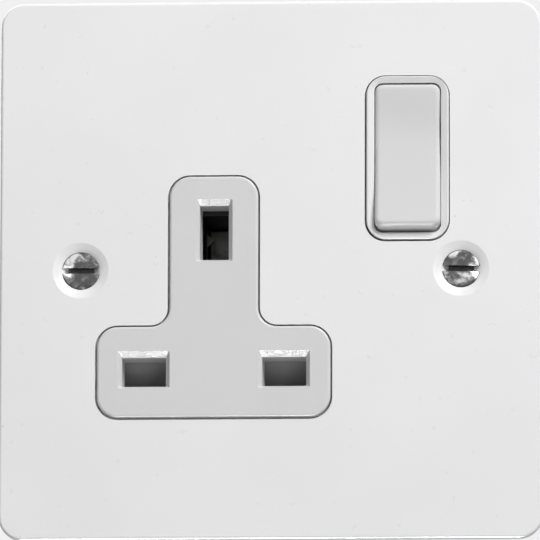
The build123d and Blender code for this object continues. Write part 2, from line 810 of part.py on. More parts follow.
with BuildPart() as rear_housing:
    with BuildSketch(facing(housing_back)):
        add(body_outline.sketch)
        offset(amount=-gasket_clearance)
    extrude(amount=housing_back - front_wall_back)
    chamfer(rear_housing.faces().sort_by(Axis.Y)[-1].edges(), housing_edge_bevel)
    with BuildSketch(facing(parting_back)):
        add(body_outline.sketch)
        offset(amount=-gasket_clearance)
        offset(amount=-parting_depth, mode=Mode.SUBTRACT)
    extrude(amount=parting_back - front_wall_back, mode=Mode.SUBTRACT)
    with BuildSketch(facing(housing_back)):
        RectangleRounded(back_panel_width, back_panel_height, back_panel_radius)
    extrude(amount=back_panel_depth, mode=Mode.SUBTRACT)
    with BuildSketch(facing(housing_back)):
        with GridLocations(0, back_rib_pitch, 1, back_rib_count):
            SlotOverall(back_panel_width - 2 * back_rib_margin, back_rib_width)
    extrude(amount=back_panel_depth)
    with BuildSketch(facing(housing_floor)):
        add(body_outline.sketch)
        offset(amount=-gasket_clearance - housing_wall)
    extrude(amount=housing_floor - front_wall_back, mode=Mode.SUBTRACT)
    with BuildSketch(facing(housing_floor)):
        with Locations(*housing_screw_places):
            Circle(boss_radius)
    extrude(amount=housing_floor - boss_back)
    rib_offset = clip_width / 2 + rail_gap + rail_thickness / 2
    with BuildSketch(facing(housing_floor)):
        for clip_x in clip_places.values():
            with Locations((clip_x - rib_offset, live_z), (clip_x + rib_offset, live_z)):
                Rectangle(rail_thickness, 2 * (half_pin + clip_rib_reach))
    extrude(amount=housing_floor - shutter_back - shutter_back_gap)
    with BuildSketch(facing(housing_floor)):
        earth_rib = earth_clip_height / 2 + rail_gap + rail_thickness / 2
        with Locations((socket_x, earth_z - earth_rib), (socket_x, earth_z + earth_rib)):
            Rectangle(earth_rib_width, rail_thickness)
    extrude(amount=housing_floor - earth_clip_mouth)
    with BuildSketch(facing(housing_floor)):
        with Locations((switch_x, switch_z)):
            Rectangle(pole_spacing + strip_width + 1, feed_block_height)
    extrude(amount=housing_floor - feed_front - feed_thickness - strip_gap)
    with BuildSketch(facing(housing_floor)):
        for block_x, block_z in terminals.values():
            with Locations((block_x, block_z)):
                Rectangle(terminal_width + 2 * pocket_wall, terminal_height + 2 * pocket_wall)
        for block_x, block_z in terminals.values():
            with Locations((block_x, block_z)):
                Rectangle(terminal_width + pocket_play, terminal_height + pocket_play, mode=Mode.SUBTRACT)
    extrude(amount=housing_floor - terminal_front - 2 * strip_gap)
    shelf_back = run_front - shelf_gap
    with BuildSketch(facing(shelf_back)):
        shelf_left = pole_xs["neutral"] - strip_width / 2 - shelf_thickness / 2
        shelf_right = body_side / 2 - gasket_clearance - housing_wall + join
        shelf_middle = shelf_z - (strip_thickness + shelf_thickness) / 2 - strip_gap
        with Locations(((shelf_left + shelf_right) / 2, shelf_middle)):
            Rectangle(shelf_right - shelf_left, shelf_thickness)
    extrude(amount=shelf_back - shelf_front)
    for name, (block_x, block_z) in terminals.items():
        wall_sign = 1 if block_z > 0 else -1
        with BuildSketch(Plane.XY.offset(block_z)):
            with Locations((block_x, bore_y)):
                Circle(wire_hole_radius)
        extrude(amount=wall_sign * body_side / 2, mode=Mode.SUBTRACT)
    outer_wall = body_side / 2 - gasket_clearance
    wire_rims = rear_housing.edges().filter_by(GeomType.CIRCLE)
    wire_rims = wire_rims.filter_by(lambda e: abs(abs(e.center().Z) - outer_wall) < 0.01)
    chamfer(wire_rims, wire_funnel)
    with BuildSketch(facing(housing_back)):
        with Locations(*terminals.values()):
            Circle(terminal_screw_head_radius + 2 * head_play)
    extrude(amount=housing_floor_thickness, mode=Mode.SUBTRACT)
    with BuildSketch(facing(housing_back)):
        with Locations(*housing_screw_places):
            Circle(housing_screw_head_radius + head_play)
    extrude(amount=housing_screw_head, mode=Mode.SUBTRACT)
    with BuildSketch(facing(housing_back)):
        with Locations(*housing_screw_places):
            Circle(housing_screw_radius + shank_play)
    extrude(amount=housing_back - boss_back, mode=Mode.SUBTRACT)
finish(rear_housing.part, "rear_housing")

with BuildPart() as housing_screws:
    head_seat = housing_back - housing_screw_head
    with BuildSketch(facing(head_seat)):
        with Locations(*housing_screw_places):
            Circle(housing_screw_radius)
    extrude(amount=head_seat - housing_screw_tip)
    with BuildSketch(facing(housing_back)):
        with Locations(*housing_screw_places):
            Circle(housing_screw_head_radius)
    extrude(amount=housing_screw_head)
    with BuildSketch(facing(housing_back)):
        with Locations(*housing_screw_places):
            Rectangle(recess_length, recess_width)
            Rectangle(recess_width, recess_length)
    extrude(amount=recess_depth, mode=Mode.SUBTRACT)
finish(housing_screws.part, "housing_screws")

# Fixing screws: raised countersunk heads with a straight slot

for name, (screw_x, screw_z) in zip(("fixing_screw_left", "fixing_screw_right"), fixing_places):
    with BuildPart() as fixing_screw:
        neck_y = screw_seat + screw_head_radius - screw_radius
        screw_end = screw_seat + screw_length
        crown_y = screw_seat - screw_head_dome
        with BuildSketch(Plane(origin=(screw_x, 0, screw_z), z_dir=(0, 0, 1))):
            with BuildLine():
                ThreePointArc(
                    (screw_head_radius, screw_seat),
                    (screw_head_radius * 0.55, screw_seat - screw_head_dome * 0.7),
                    (0, crown_y),
                )
                Polyline(
                    (0, crown_y),
                    (0, screw_end),
                    (screw_radius - screw_tip_chamfer, screw_end),
                    (screw_radius, screw_end - screw_tip_chamfer),
                    (screw_radius, neck_y),
                    (screw_head_radius, screw_seat),
                )
            make_face()
        revolve(axis=Axis((screw_x, 0, screw_z), (0, 1, 0)))
        with BuildSketch(facing(crown_y + screw_slot_depth)):
            with Locations((screw_x, screw_z)):
                Rectangle(2 * screw_head_radius + 1, screw_slot_width)
        extrude(amount=screw_slot_depth, mode=Mode.SUBTRACT)
    finish(fixing_screw.part, name)

# Earth strap from the back of the plate to the earth strip, and its rivet

strap_back = feed_front - strip_gap - strap_thickness / 2
with BuildPart() as earth_strap:
    with BuildSketch(side(earth_inner_x)):
        strap_front = plate_back + strip_gap + strap_thickness / 2
        with BuildLine():
            FilletPolyline(
                (strap_front, strap_bend_z + strap_foot),
                (strap_front, strap_bend_z),
                (strap_back, strap_bend_z),
                (strap_back, strap_bend_z - strap_lap),
                radius=0.5,
            )
        trace(line_width=strap_thickness)
    extrude(amount=strap_width / 2, both=True)
finish(earth_strap.part, "earth_strap")

with BuildPart() as earth_rivet:
    with BuildSketch(facing(strap_back - strap_thickness / 2)):
        with Locations((earth_inner_x, strap_bend_z - strap_lap / 2)):
            Circle(rivet_radius)
    extrude(amount=rivet_height, taper=20)
finish(earth_rivet.part, "earth_rivet")
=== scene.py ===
import math

import bmesh
import bpy
from mathutils import Matrix, Vector


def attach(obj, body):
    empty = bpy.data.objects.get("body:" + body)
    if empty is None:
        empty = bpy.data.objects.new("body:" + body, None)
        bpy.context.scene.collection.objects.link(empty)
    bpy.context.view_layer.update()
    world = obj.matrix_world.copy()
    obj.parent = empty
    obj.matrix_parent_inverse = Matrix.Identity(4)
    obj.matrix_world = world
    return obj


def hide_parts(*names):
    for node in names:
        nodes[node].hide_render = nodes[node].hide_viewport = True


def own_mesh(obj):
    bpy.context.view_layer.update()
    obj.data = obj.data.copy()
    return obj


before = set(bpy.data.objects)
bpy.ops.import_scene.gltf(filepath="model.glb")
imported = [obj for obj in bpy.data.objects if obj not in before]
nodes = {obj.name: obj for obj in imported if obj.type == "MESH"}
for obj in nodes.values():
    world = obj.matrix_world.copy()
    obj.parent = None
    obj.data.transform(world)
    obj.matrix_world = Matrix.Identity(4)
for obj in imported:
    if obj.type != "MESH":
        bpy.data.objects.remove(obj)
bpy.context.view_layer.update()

mm = 0.001  # the pieces' settings are in millimetres, Blender's lengths in metres
print("frame loaded with", len(nodes), "nodes")


# A number on its way through a tree of nodes. Sums written on it become Math nodes.
class Amount:
    def __init__(self, work, socket):
        self.work = work
        self.socket = socket

    def maths(self, operation, *values, clamp=False):
        settings = {"operation": operation, "use_clamp": clamp}
        return self.work.node("ShaderNodeMath", settings, dict(enumerate(values)))

    def __add__(self, other):
        return self.maths("ADD", self, other)

    def __radd__(self, other):
        return self.maths("ADD", other, self)

    def __sub__(self, other):
        return self.maths("SUBTRACT", self, other)

    def __rsub__(self, other):
        return self.maths("SUBTRACT", other, self)

    def __mul__(self, other):
        return self.maths("MULTIPLY", self, other)

    def __rmul__(self, other):
        return self.maths("MULTIPLY", other, self)

    def __truediv__(self, other):
        return self.maths("DIVIDE", self, other)

    def __rtruediv__(self, other):
        return self.maths("DIVIDE", other, self)

    def __mod__(self, other):
        return self.maths("MODULO", self, other)

    def __abs__(self):
        return self.maths("ABSOLUTE", self)

    def least(self, other):
        return self.maths("MINIMUM", self, other)

    def most(self, other):
        return self.maths("MAXIMUM", self, other)

    # kept between 0 and 1
    def held(self):
        return self.maths("ADD", self, 0.0, clamp=True)


# Any tree of nodes. Everything but sums is made by its one method, node().
class NodeWork:
    def __init__(self, tree):
        self.tree = tree
        self.tree.nodes.clear()

    def node(self, kind, settings=None, inputs=None, output=0):
        made = self.tree.nodes.new(kind)
        for key, value in (settings or {}).items():
            setattr(made, key, value)
        for key, value in (inputs or {}).items():
            for each in value if isinstance(value, list) else [value]:
                if isinstance(each, Amount):
                    self.tree.links.new(each.socket, made.inputs[key])
                else:
                    made.inputs[key].default_value = each
        return Amount(self, made.outputs[output]) if made.outputs else None


# A procedural finish on Object coordinates. Its scales are per metre, its depths in metres.
class Coat(NodeWork):
    def __init__(self, name, viewColour):
        self.material = bpy.data.materials.new(name)
        self.material.use_nodes = True
        self.material.diffuse_color = viewColour
        super().__init__(self.material.node_tree)
        self.place = self.node("ShaderNodeTexCoord", output="Object")

    def noise(self, scale, detail, rough=0.5, place=None, warp=0.0):
        return self.node("ShaderNodeTexNoise", None, {
            "Vector": place or self.place, "Scale": scale, "Detail": detail,
            "Roughness": rough, "Distortion": warp,
        })

    def cells(self, scale):
        return self.node("ShaderNodeTexVoronoi", None, {"Vector": self.place, "Scale": scale}, "Distance")

    def step(self, value, low, high, first=0.0, last=1.0):
        return self.node("ShaderNodeMapRange", {"interpolation_type": "SMOOTHSTEP"}, {
            "Value": value, "From Min": low, "From Max": high, "To Min": first, "To Max": last,
        })

    def moved(self, offset=(0, 0, 0), along=(1, 1, 1)):
        return self.node("ShaderNodeMapping", None, {
            "Vector": self.place, "Location": offset, "Scale": along,
        })

    def mix(self, share, first, second):
        # a colour Mix node numbers its factor 0, its colours 6 and 7, and its result 2
        return self.node("ShaderNodeMix", {"data_type": "RGBA"}, {0: share, 6: first, 7: second}, 2)

    def vectors(self, operation, first, second, output="Vector"):
        return self.node("ShaderNodeVectorMath", {"operation": operation}, {0: first, 1: second}, output)

    def distance(self, point, place=None):
        return self.vectors("DISTANCE", place or self.place, point, "Value")

    def facing(self, direction):
        normal = self.node("ShaderNodeNewGeometry", output="Normal")
        return self.vectors("DOT_PRODUCT", normal, direction, "Value")

    def relief(self, height, depth, strength, under=None):
        sockets = {"Strength": strength, "Distance": depth, "Height": height}
        if under is not None:
            sockets["Normal"] = under
        return self.node("ShaderNodeBump", None, sockets)

    def cover(self, colour, roughness, relief, metallic=0.0, bend=1.5):
        self.show(self.node("ShaderNodeBsdfPrincipled", None, {
            "Base Color": colour, "Roughness": roughness, "Normal": relief,
            "Metallic": metallic, "IOR": bend,
        }))
        return self.material

    def show(self, shader):
        self.node("ShaderNodeOutputMaterial", None, {"Surface": shader})


def grey(shade):
    return (shade, shade, shade, 1)


# Painted steel: an even white with a faint peel, a few pits and some dust under the paint
plateLook = {
    "paint": 0.83, "paintShade": 0.81, "dirt": 0.33, "pit": 0.30,
    "roughness": 0.30, "unevenness": 0.12, "bend": 1.48, "peel": 0.012,
    # small dust specks on the plate's front: x, z, radius
    "front": -3,
    "specks": [
        (-29.2, 31.7, 0.17), (29.2, 8.3, 0.2), (30.6, 10.8, 0.16), (-18.2, 2.1, 0.17), (-42.4, -24.8, 0.2),
    ],
}


def paintedPlate():
    look = plateLook
    coat = Coat("paintedPlate", grey(look["paint"]))
    drift = coat.step(coat.noise(38, 3), 0.35, 0.65)
    base = coat.mix(drift, grey(look["paintShade"]), grey(look["paint"]))
    speck = None
    for x, z, radius in look["specks"]:
        away = coat.distance((x * mm, look["front"] * mm, z * mm))
        spot = coat.step(away, radius * mm * 0.4, radius * mm, 1.0, 0.0)
        speck = spot if speck is None else speck + spot
    pits = coat.step(coat.cells(420), 0.05, 0.09, 1.0, 0.0) * coat.step(coat.noise(160, 1), 0.66, 0.70)
    mark = speck + pits * 0.35
    colour = coat.mix(mark * look["pit"], base, grey(look["dirt"]))
    peel = coat.noise(900, 3, 0.55) * 0.6 + coat.noise(260, 2) * 0.4
    relief = coat.relief(peel - mark * 0.6, look["peel"] * mm, 0.6)
    rough = look["roughness"] + (coat.noise(600, 2) - 0.5) * look["unevenness"]
    return coat.cover(colour, rough, relief, bend=look["bend"])


# What all the mouldings share: noise scales, and how far flow marks and smut darken the plastic
mouldedLook = {
    "flowScale": 60, "smutScale": 330, "grainScale": 2600, "rippleScale": 700,
    "glitterScale": 3600, "wearScale": 240, "flowDark": 0.025, "smutShade": 0.45, "unevenness": 0.16,
}


# grain and sparkle are depths of relief, and the sparkle is on undersides that face forward
def mouldedPlastic(name, shade, roughness, grain, seed, dirt=0.04, sparkle=0.0, mottle=1.0, bend=1.5):
    look = mouldedLook
    coat = Coat(name, grey(shade))
    place = coat.moved((seed, 0, seed))
    flow = coat.step(coat.noise(look["flowScale"], 3, 0.6, place, 0.8), 0.3, 0.7)
    colour = coat.mix(flow, grey(shade * (1 - look["flowDark"] * mottle)), grey(shade))
    smut = coat.step(coat.noise(look["smutScale"], 4, 0.7, place), 0.62, 0.82)
    colour = coat.mix(smut * dirt, colour, grey(shade * look["smutShade"]))
    grains = coat.noise(look["grainScale"], 3, 0.6, place) * 0.7
    relief = coat.relief(grains + coat.noise(look["rippleScale"], 2, 0.5, place) * 0.5, grain * mm, 0.8)
    if sparkle:
        below = coat.step(coat.facing((0, 0, -1)), 0.55, 0.75)
        underside = below * coat.step(coat.facing((0, -1, 0)), 0.3, 0.5)
        glitter = coat.noise(look["glitterScale"], 2, 0.5, place)
        relief = coat.relief(glitter * underside, sparkle * mm, 1.0, relief)
    wear = coat.noise(look["wearScale"], 3, 0.6, place) - 0.5
    return coat.cover(colour, roughness + wear * (look["unevenness"] * mottle), relief, bend=bend)


# Plated screw heads, their light painted in: a dark plating that stands for the dark room it reflects,
# patches of painted bright reflection, and painted shade at the rim and in the driver's slot
nickelLook = {
    # the plating's greys are painted reflection, the dark ones for the room and the bright one for lamps;
    # the darkest grey is painted shade at the rim and in the slot
    "darkReflection": 0.12, "stainedDarkReflection": 0.24, "bright": 0.80, "hollowShade": 0.03, "roughness": 0.14,
    "dent": 0.05, "scratch": 0.01,
    "axis": 30.15, "headRadius": 3.0, "slotTop": -2.6, "slotFloor": -2.1,
}


def nickelScrew():
    look = nickelLook
    coat = Coat("nickelScrew", grey(0.5))
    # painted reflection: bright patches on a dark base stand for lamps and the dark room mirrored in the
    # plating; the stain noise is random tone
    reflectionPatch = coat.step(coat.noise(330, 3, 0.55, warp=0.15), 0.52, 0.66)
    stain = coat.step(coat.noise(1300, 3, 0.6), 0.45, 0.70)
    colour = coat.mix(stain, grey(look["darkReflection"]), grey(look["stainedDarkReflection"]))
    colour = coat.mix(reflectionPatch, colour, grey(look["bright"]))
    # painted shade: a dark ring at the head's rim and dark down in the driver's slot
    flat = coat.vectors("MULTIPLY", coat.place, (1, 0, 1))
    left, right = (coat.distance((x * mm, 0, 0), flat) for x in (-look["axis"], look["axis"]))
    rim = coat.step(left.least(right) / (look["headRadius"] * mm), 0.93, 0.99)
    depth = coat.node("ShaderNodeSeparateXYZ", None, {0: coat.place}, "Y")
    slot = coat.step(depth, look["slotTop"] * mm, look["slotFloor"] * mm)
    hollowShade = rim.most(slot) * (0.65 + coat.noise(2600, 3) * 0.5)
    colour = coat.mix(hollowShade.held(), colour, grey(look["hollowShade"]))
    relief = coat.relief(coat.noise(750, 2), look["dent"] * mm, 1.0)
    scratches = coat.noise(2400, 2, 0.5, coat.moved(along=(0.12, 1.0, 1.0)))
    relief = coat.relief(scratches, look["scratch"] * mm, 0.7, relief)
    rough = look["roughness"] + reflectionPatch * 0.08 + stain * 0.12 + hollowShade * 0.2
    return coat.cover(colour, rough, relief, metallic=1.0)


# What all the strips, blocks and wires share: noise scales, and how tarnish changes them
metalLook = {
    "tarnishScale": 300, "spotScale": 1400, "lineScale": 3600, "lineDepth": 0.012,
    "spotShade": 0.4, "roughened": 0.12,
}


# drawn scales the fine lines, and the direction that they run in has its smallest number
def sheetMetal(name, shade, worn, roughness, drawn=(1.0, 1.0, 0.08), seed=0.0):
    look = metalLook
    coat = Coat(name, (*shade, 1))
    place = coat.moved((seed, seed, 0))
    tarnish = coat.step(coat.noise(look["tarnishScale"], 5, 0.65, place, 0.5), 0.38, 0.72)
    spots = coat.step(coat.noise(look["spotScale"], 3, 0.6, place), 0.60, 0.78)
    colour = coat.mix(tarnish, (*shade, 1), (*worn, 1))
    spotColour = [part * look["spotShade"] for part in worn]
    colour = coat.mix(spots * 0.4, colour, (*spotColour, 1))
    lines = coat.noise(look["lineScale"], 3, 0.6, coat.moved((seed, seed, 0), drawn))
    relief = coat.relief(lines, look["lineDepth"] * mm, 0.7)
    rough = roughness + tarnish * look["roughened"] + spots * look["roughened"]
    return coat.cover(colour, rough, relief, metallic=1.0)


mouldings = {
    "insertWhite": {"shade": 0.655, "roughness": 0.38, "grain": 0.010, "seed": 0.1, "sparkle": 0.22},
    # painted light: the same white plastic as the insert, made lighter for the light that falls on the
    # frame's sloping rim
    "surroundWhite": {
        "shade": 0.73, "roughness": 0.34, "grain": 0.006, "seed": 0.4,
        "dirt": 0.02, "mottle": 0.4,
    },
    "rockerWhite": {
        "shade": 0.64, "roughness": 0.46, "grain": 0.004, "seed": 0.7,
        "dirt": 0.0, "mottle": 0.15, "bend": 1.3,
    },
    "gasketGrey": {"shade": 0.05, "roughness": 0.55, "grain": 0.02, "seed": 1.1},
    "housingCharcoal": {"shade": 0.035, "roughness": 0.48, "grain": 0.02, "seed": 1.5, "dirt": 0.10},
    "shutterGrey": {"shade": 0.35, "roughness": 0.42, "grain": 0.010, "seed": 1.9, "dirt": 0.10},
    "plungerAmber": {"shade": 0.55, "roughness": 0.35, "grain": 0.006, "seed": 2.3},
}
evenly, lengthwise = (1.0, 1.0, 1.0), (0.1, 1.0, 1.0)
metals = {
    "brassSheet": {"shade": (0.80, 0.58, 0.26), "worn": (0.58, 0.38, 0.16), "roughness": 0.24},
    "brassBlock": {
        "shade": (0.84, 0.63, 0.30), "worn": (0.62, 0.43, 0.19), "roughness": 0.28,
        "drawn": lengthwise, "seed": 0.3,
    },
    # painted shade: the tinned steel is made nearly black so that the earth slot looks dark deep inside
    "tinnedSheet": {
        "shade": (0.13, 0.13, 0.125), "worn": (0.06, 0.06, 0.057), "roughness": 0.30, "seed": 0.5,
    },
    "silverTip": {
        "shade": (0.86, 0.85, 0.82), "worn": (0.55, 0.53, 0.50), "roughness": 0.22,
        "drawn": evenly, "seed": 0.6,
    },
    "springSteel": {
        "shade": (0.52, 0.52, 0.54), "worn": (0.34, 0.33, 0.33), "roughness": 0.24,
        "drawn": evenly, "seed": 0.9,
    },
    "zincScrew": {
        "shade": (0.72, 0.73, 0.74), "worn": (0.52, 0.52, 0.50), "roughness": 0.30,
        "drawn": evenly, "seed": 1.2,
    },
}
coats = {
    "paintedPlate": paintedPlate(),
    **{name: mouldedPlastic(name, **settings) for name, settings in mouldings.items()},
    "nickelScrew": nickelScrew(),
    **{name: sheetMetal(name, **settings) for name, settings in metals.items()},
}

finishes = {
    "paintedPlate": ["face_plate"],
    "gasketGrey": ["plate_gasket"],
    "insertWhite": ["front_moulding"],
    "surroundWhite": ["switch_surround"],
    "rockerWhite": ["rocker"],
    "plungerAmber": ["plunger_line", "plunger_neutral"],
    "springSteel": ["plunger_spring_line", "plunger_spring_neutral", "shutter_spring"],
    "brassSheet": [
        "moving_contact_line", "moving_contact_neutral", "feed_strip_line", "feed_strip_neutral",
        "line_contact", "neutral_contact", "earth_strap",
    ],
    "tinnedSheet": ["earth_contact"],
    "silverTip": ["contact_tip_line", "contact_tip_neutral", "fixed_contact_tips"],
    "brassBlock": [
        "terminal_line", "terminal_neutral", "terminal_earth_inner", "terminal_earth_outer", "earth_rivet",
    ],
    "zincScrew": ["terminal_screws", "housing_screws"],
    "shutterGrey": ["shutter"],
    "housingCharcoal": ["rear_housing"],
    "nickelScrew": ["fixing_screw_left", "fixing_screw_right"],
}
for coatName, wearers in finishes.items():
    for wearer in wearers:
        for materialSlot in nodes[wearer].material_slots:
            materialSlot.material = coats[coatName]
print("finishes on", sum(len(wearers) for wearers in finishes.values()), "nodes")


def link(name, content):
    made = bpy.data.objects.new(name, content)
    bpy.context.scene.collection.objects.link(made)
    return made


# The plain mesh that a piece's modifiers make, which are then taken off it
def asBuilt(holder):
    bpy.context.view_layer.update()
    ready = holder.evaluated_get(bpy.context.evaluated_depsgraph_get())
    mesh = bpy.data.meshes.new_from_object(ready)
    holder.modifiers.clear()
    return mesh


# Edges that turn by more degrees than this are sharp, on grown pieces and on fitted ones
grownCorner, fittedCorner = 32, 16


def smoothOut(mesh, corner):
    work = bmesh.new()
    work.from_mesh(mesh)
    bmesh.ops.remove_doubles(work, verts=work.verts, dist=0.0005 * mm)
    bmesh.ops.recalc_face_normals(work, faces=work.faces)
    for face in work.faces:
        face.smooth = True
    work.to_mesh(mesh)
    work.free()
    mesh.set_sharp_from_angle(angle=math.radians(corner))


# A Geometry Nodes tree with named inputs, grown once into a plain mesh.
class Growth(NodeWork):
    def __init__(self, name, sizes):
        group = bpy.data.node_groups.new(name, "GeometryNodeTree")
        # a size that is text stands for an object, which has no default
        kinds = {int: "NodeSocketInt", float: "NodeSocketFloat", str: "NodeSocketObject"}
        group.interface.new_socket("Shape", in_out="INPUT", socket_type="NodeSocketGeometry")
        for label, value in sizes.items():
            socket = group.interface.new_socket(label, in_out="INPUT", socket_type=kinds[type(value)])
            if not isinstance(value, str):
                socket.default_value = value
        group.interface.new_socket("Finish", in_out="INPUT", socket_type="NodeSocketMaterial")
        group.interface.new_socket("Shape", in_out="OUTPUT", socket_type="NodeSocketGeometry")
        super().__init__(group)
        self.door = self.node("NodeGroupInput").socket.node

    def size(self, label):
        return Amount(self, self.door.outputs[label])

    def point(self, x, y, z):
        return self.node("ShaderNodeCombineXYZ", None, {"X": x, "Y": y, "Z": z})

    def round(self, radius, turns):
        angle = turns * (2 * math.pi)
        return radius * angle.maths("COSINE", angle), radius * angle.maths("SINE", angle)

    def close(self, shape):
        whole = self.node("GeometryNodeRealizeInstances", None, {"Geometry": shape})
        painted = self.node("GeometryNodeSetMaterial", None, {
            "Geometry": whole, "Material": self.size("Finish"),
        })
        self.node("NodeGroupOutput", None, {"Shape": painted})

    def grow(self, name, start, values):
        holder = link(name, start)
        modifier = holder.modifiers.new("growth", "NODES")
        modifier.node_group = self.tree
        for entry in self.tree.interface.items_tree:
            if entry.in_out == "INPUT" and entry.name in values:
                modifier[entry.identifier] = values[entry.name]
        holder.data = asBuilt(holder)
        smoothOut(holder.data, grownCorner)
        return holder


# Thread: a helical sheet of four rows a pitch, held at both ends, closed by a point at each
def threadGrowth():
    work = Growth("thread", {
        "Radius": 1.75 * mm, "Depth": 0.36 * mm, "Pitch": 0.6 * mm, "Start": 0.0,
        "End": 20 * mm, "Point": 1.2 * mm, "Sides": 24,
    })
    rowsPerPitch, spareRows = 4, 10
    leadIn, flatWidth, runOut = 2, 0.125, 1.5  # in pitches
    pitch, start, end, sides = (work.size(label) for label in ("Pitch", "Start", "End", "Sides"))
    pitches = (end - start) / pitch
    rows = pitches.maths("CEIL", pitches) * rowsPerPitch + spareRows
    sheet = work.node("GeometryNodeMeshGrid", None, {"Vertices X": rows, "Vertices Y": sides + 1})
    index = work.node("GeometryNodeInputIndex")
    row = index.maths("FLOOR", index / (sides + 1))
    turn = (index - row * (sides + 1)) / sides
    along = start + (row / rowsPerPitch + (row % 2) * flatWidth + turn - leadIn) * pitch
    along = along.most(start).least(end)
    # of each four rows the outer two lie on the root and the middle two on the crest
    ridge = (2 - abs((row % rowsPerPitch) * 2 - 3)).held()
    ridge = ridge * ((along - start) / (pitch * runOut)).held() * ((end - along) / pitch).held()
    radius = work.size("Radius") - work.size("Depth") * (1 - ridge)
    radius = radius.least(work.size("Point") + end - along)
    inside = row.maths("GREATER_THAN", row, 0.5) * row.maths("LESS_THAN", row, rows - 1.5)
    across, up = work.round(radius * inside, turn)
    placed = work.node("GeometryNodeSetPosition", None, {
        "Geometry": sheet, "Position": work.point(across, along, 0 - up),
    })
    merged = work.node("GeometryNodeMergeByDistance", None, {"Geometry": placed, "Distance": 0.001 * mm})
    joined = work.node("GeometryNodeJoinGeometry", None, {"Geometry": [work.size("Shape"), merged]})
    work.close(joined)
    return work


# Coil spring: closed turns at both ends and open ones between
def coilGrowth():
    work = Growth("coil", {
        "Coil Radius": 1.5 * mm, "Wire Radius": 0.2 * mm, "Length": 10 * mm, "Turns": 8.0,
        "Closed Turns": 1.0, "Steps": 200, "Wire Sides": 10,
    })
    closedPitch = 2.05  # in wire radii, so that closed turns all but touch
    wire, turns, closed = (work.size(label) for label in ("Wire Radius", "Turns", "Closed Turns"))
    line = work.node("GeometryNodeCurvePrimitiveLine")
    line = work.node("GeometryNodeResampleCurve", {"mode": "COUNT"}, {
        "Curve": line, "Count": work.size("Steps"),
    })
    turn = work.node("GeometryNodeSplineParameter", output="Factor") * turns
    shut = turn.least(closed) + (turn - turns + closed).most(0)
    opened = ((turn - closed) / (turns - closed * 2)).held()
    openLength = work.size("Length") - wire * 2 - closed * wire * (2 * closedPitch)
    rise = wire + shut * wire * closedPitch + opened * openLength
    across, back = work.round(work.size("Coil Radius"), turn)
    coil = work.node("GeometryNodeSetPosition", None, {
        "Geometry": line, "Position": work.point(across, back, rise),
    })
    ring = work.node("GeometryNodeCurvePrimitiveCircle", {"mode": "RADIUS"}, {
        "Resolution": work.size("Wire Sides"), "Radius": wire,
    })
    work.close(work.node("GeometryNodeCurveToMesh", None, {
        "Curve": coil, "Profile Curve": ring, "Fill Caps": True,
    }))
    return work


# Set-out: one template at every point, turned at random where it has a spread
def setOutGrowth():
    work = Growth("setOut", {"Template": "", "Facing": 0.0, "Turn": 0.0, "Spread": 0.0, "Seed": 1})
    template = work.node("GeometryNodeObjectInfo", None, {"Object": work.size("Template")}, "Geometry")
    spread = work.size("Spread")
    # a Random Value node numbers its least float 2, its most 3, and the float it draws 1
    chance = work.node("FunctionNodeRandomValue", {"data_type": "FLOAT"}, {
        2: 0 - spread, 3: spread, "Seed": work.size("Seed"),
    }, 1)
    turned = work.point(0, work.size("Turn") + chance, work.size("Facing"))
    rotation = work.node("FunctionNodeEulerToRotation", None, {"Euler": turned})
    work.close(work.node("GeometryNodeInstanceOnPoints", None, {
        "Points": work.size("Shape"), "Instance": template, "Rotation": rotation,
    }))
    return work


threads, coils, setOuts = threadGrowth(), coilGrowth(), setOutGrowth()
print("trees ready for threads, coils and setting out")


def meshFrom(work, name):
    mesh = bpy.data.meshes.new(name)
    work.to_mesh(mesh)
    work.free()
    return mesh


# A turned form along +Y from (radius, depth) pairs, closed at both poles
def turnedForm(name, profile, sides=64):
    work = bmesh.new()
    rings = []
    for radius, depth in profile:
        count = 1 if radius == 0 else sides
        angles = [2 * math.pi * number / sides for number in range(count)]
        ring = [Vector((radius * math.cos(angle), depth, radius * math.sin(angle))) for angle in angles]
        rings.append([work.verts.new(place * mm) for place in ring])
    for near, far in zip(rings, rings[1:]):
        for number in range(sides):
            after = (number + 1) % sides
            corners = [near[number % len(near)], near[after % len(near)]]
            corners += [far[after % len(far)], far[number % len(far)]]
            work.faces.new(list(dict.fromkeys(corners)))
    bmesh.ops.recalc_face_normals(work, faces=work.faces)
    return meshFrom(work, name)


# A tapered bar that cuts a driver's slot from the front, turned by an angle about Y
def slotTool(length, width, depth, taper, turn=0.0):
    above = 1.0  # how far it stands out of the head
    work = bmesh.new()
    layers = []
    for level, inset in ((-above, 0.0), (0.0, 0.0), (depth, taper)):
        reach, half = length / 2 - inset, width / 2 - inset
        corners = [(-reach, -half), (reach, -half), (reach, half), (-reach, half)]
        layers.append([work.verts.new(Vector((x, level, z)) * mm) for x, z in corners])
    for near, far in zip(layers, layers[1:]):
        for number in range(4):
            after = (number + 1) % 4
            work.faces.new([near[number], near[after], far[after], far[number]])
    work.faces.new(layers[0])
    work.faces.new(layers[-1])
    bmesh.ops.recalc_face_normals(work, faces=work.faces)
    bmesh.ops.rotate(work, verts=work.verts, matrix=Matrix.Rotation(turn, 3, "Y"))
    return meshFrom(work, "slotTool")


# Edges that turn by more degrees than this are worn round when a head is carved
wornCorner = 38


def carved(mesh, tools, edge):
    blank = link("blank", mesh)
    helpers = [link("slotTool", tool) for tool in tools]
    for helper in helpers:
        cut = blank.modifiers.new("slot", "BOOLEAN")
        cut.operation, cut.solver, cut.object = "DIFFERENCE", "EXACT", helper
    worn = blank.modifiers.new("wornEdge", "BEVEL")
    worn.width, worn.segments, worn.limit_method = edge * mm, 2, "ANGLE"
    worn.angle_limit = math.radians(wornCorner)
    worn.use_clamp_overlap = True
    result = asBuilt(blank)
    for helper in helpers + [blank]:
        bpy.data.objects.remove(helper)
    return result


